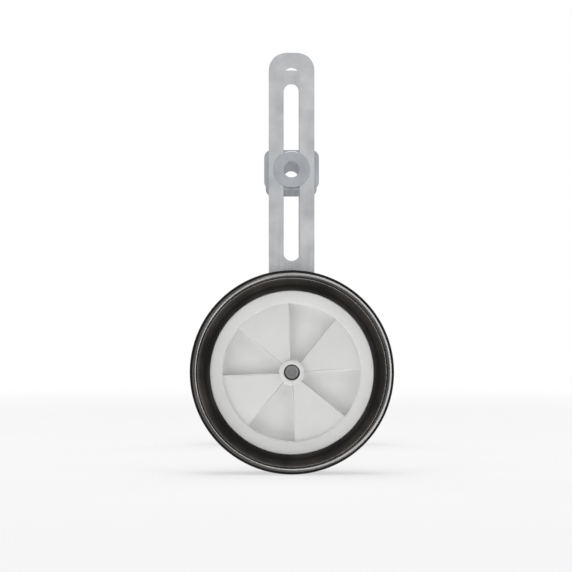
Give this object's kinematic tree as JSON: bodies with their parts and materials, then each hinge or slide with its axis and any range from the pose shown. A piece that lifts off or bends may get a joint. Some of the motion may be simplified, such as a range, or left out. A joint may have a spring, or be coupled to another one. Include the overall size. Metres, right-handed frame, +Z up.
{
  "type": "bicycle training wheels",
  "caption": "Pair of small black-tyred wheels with white vaned hubs on slotted, outward-stepped steel arms that clamp to a child's bicycle rear axle and slide up or down to suit its wheel size.",
  "frame": {"origin": "middle of the bicycle's rear axle, half way between the two sides", "axes": "+X forward on the bicycle, +Y along the axle to the bicycle's left, +Z up"},
  "size_m": [0.127, 0.3118, 0.2704],
  "materials": {
    "white_plastic": "satin moulded polypropylene",
    "black_rubber": "satin solid rubber",
    "zinc_steel": "bright zinc plated",
    "bright_steel": "drawn tube"
  },
  "bodies": {
    "axle_fittings": {"right_keyed_washer": "zinc_steel", "right_clamp_washer": "zinc_steel", "left_keyed_washer": "zinc_steel", "left_clamp_washer": "zinc_steel"},
    "right_arm": {"right_arm": "zinc_steel", "right_axle_screw": "zinc_steel", "right_axle_sleeve": "bright_steel", "right_hub_washer": "zinc_steel", "right_nut_washer": "zinc_steel", "right_axle_nut": "zinc_steel"},
    "right_wheel": {"right_hub": "white_plastic", "right_tyre": "black_rubber"},
    "left_arm": {"left_arm": "zinc_steel", "left_axle_screw": "zinc_steel", "left_axle_sleeve": "bright_steel", "left_hub_washer": "zinc_steel", "left_nut_washer": "zinc_steel", "left_axle_nut": "zinc_steel"},
    "left_wheel": {"left_hub": "white_plastic", "left_tyre": "black_rubber"}
  },
  "joints": [
    {"name": "right_height_slide", "type": "slide", "parent": "axle_fittings", "child": "right_arm", "axis": [0, 0, 1], "range_m": [-0.051, 0.044]},
    {"name": "right_wheel_spin", "type": "hinge", "parent": "right_arm", "child": "right_wheel", "pos_m": [0, -0.13795, -0.13], "axis": [0, 1, 0], "continuous": true},
    {"name": "left_height_slide", "type": "slide", "parent": "axle_fittings", "child": "left_arm", "axis": [0, 0, 1], "range_m": [-0.051, 0.044]},
    {"name": "left_wheel_spin", "type": "hinge", "parent": "left_arm", "child": "left_wheel", "pos_m": [0, 0.13795, -0.13], "axis": [0, 1, 0], "continuous": true}
  ]
}
